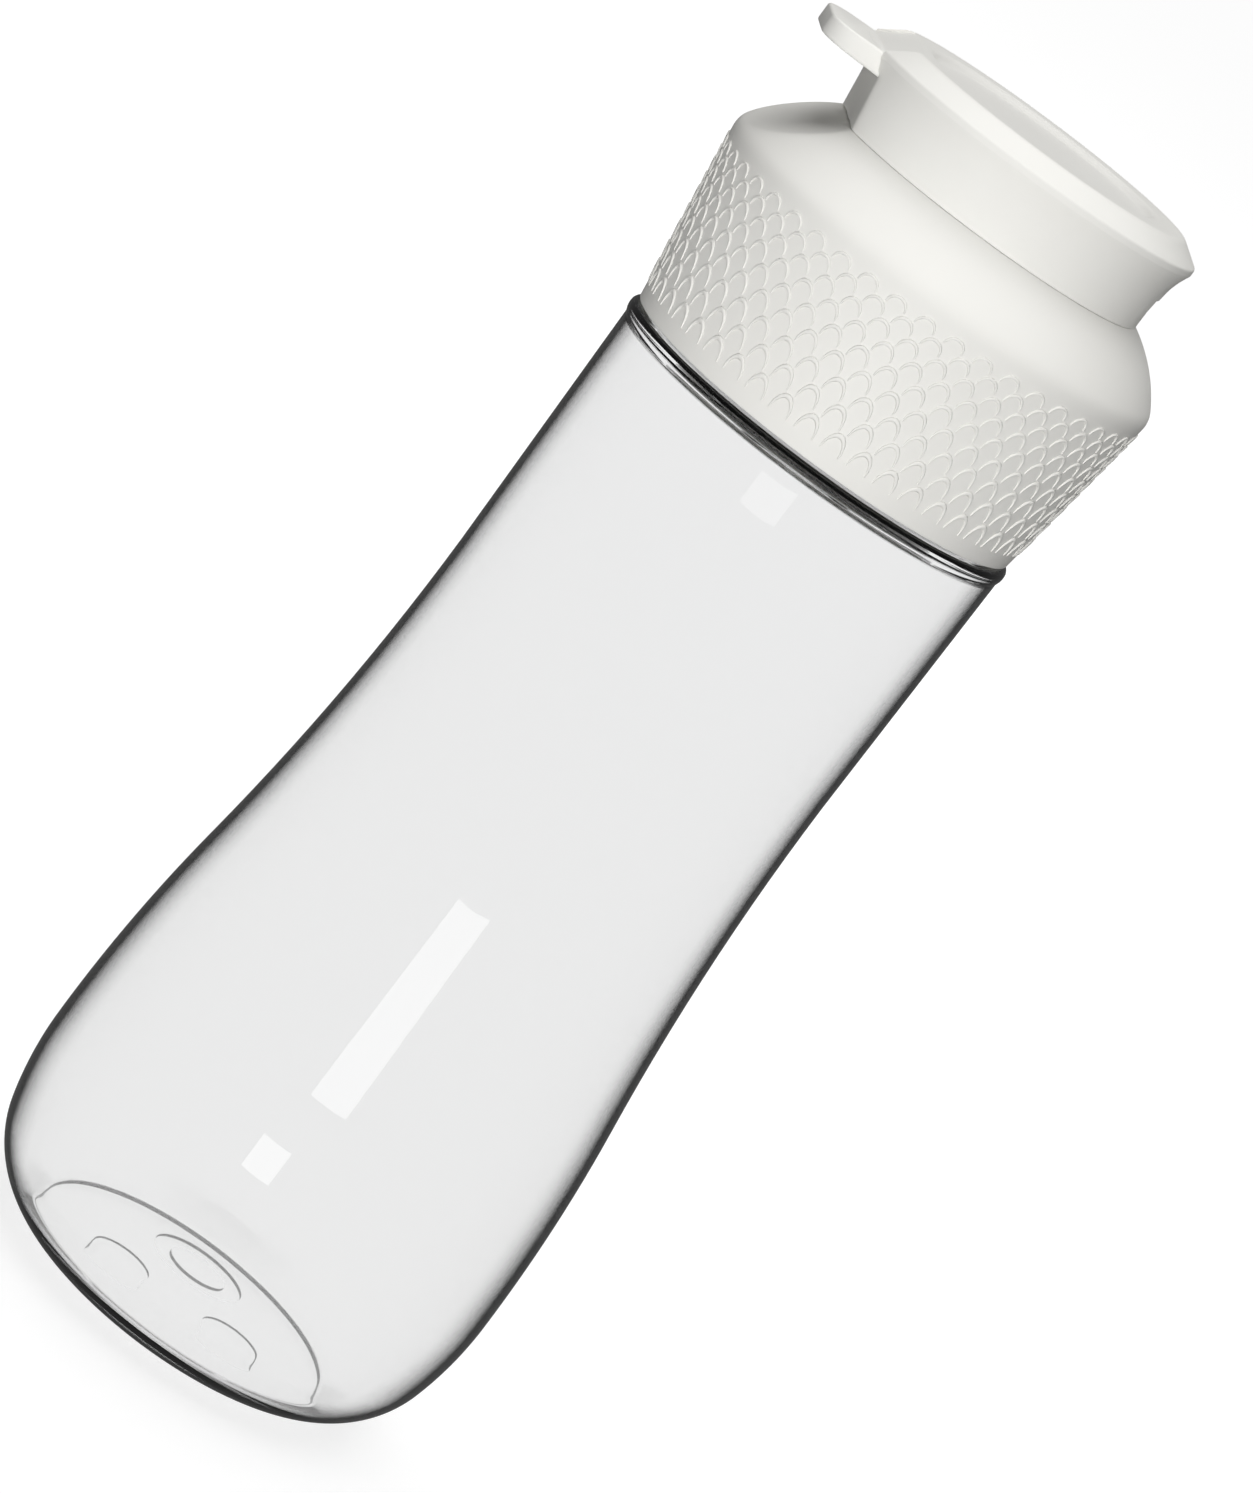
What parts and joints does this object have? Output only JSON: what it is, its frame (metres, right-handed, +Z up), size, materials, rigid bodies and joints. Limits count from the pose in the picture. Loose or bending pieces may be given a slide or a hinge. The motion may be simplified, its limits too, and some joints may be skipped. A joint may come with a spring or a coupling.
{
  "type": "condiment squeeze bottle",
  "caption": "Waisted clear squeeze bottle for sauce, with a screw cap, a valved nozzle and a flip lid with a thumb tab.",
  "frame": {"origin": "centre of the circle on which the foot stands, on the surface under it", "axes": "+Z up along the bottle's axis, -X towards the lid's tab, the lid's hinge along Y on the +X side"},
  "size_m": [0.068, 0.068, 0.187],
  "materials": {
    "clear_plastic": "clear, polished",
    "cap_plastic": "fine satin, warm off-white",
    "soft_seal": "soft, matte, milky",
    "pin_steel": "ground"
  },
  "bodies": {
    "bottle": {"bottle": "clear_plastic"},
    "gasket": {"neck_gasket": "soft_seal"},
    "cap": {"screw_cap": "cap_plastic", "slit_valve": "soft_seal", "valve_ring": "cap_plastic", "hinge_pin": "pin_steel"},
    "lid": {"flip_lid": "cap_plastic", "lid_seal": "soft_seal"}
  },
  "joints": [
    {"name": "cap_lift", "type": "slide", "parent": "bottle", "child": "gasket", "axis": [0, 0, 1], "range_m": [0, 0.006]},
    {"name": "cap_turn", "type": "hinge", "parent": "gasket", "child": "cap", "pos_m": [0, 0, 0.1414], "axis": [0, 0, 1], "range_deg": [0, 540]},
    {"name": "lid_hinge", "type": "hinge", "parent": "cap", "child": "lid", "pos_m": [0.0218, 0, 0.1766], "axis": [0, 1, 0], "range_deg": [0, 100]}
  ],
  "couplings": [
    {"joint": "cap_lift", "follows": "cap_turn", "m_per_rad": 0.00063662}
  ]
}
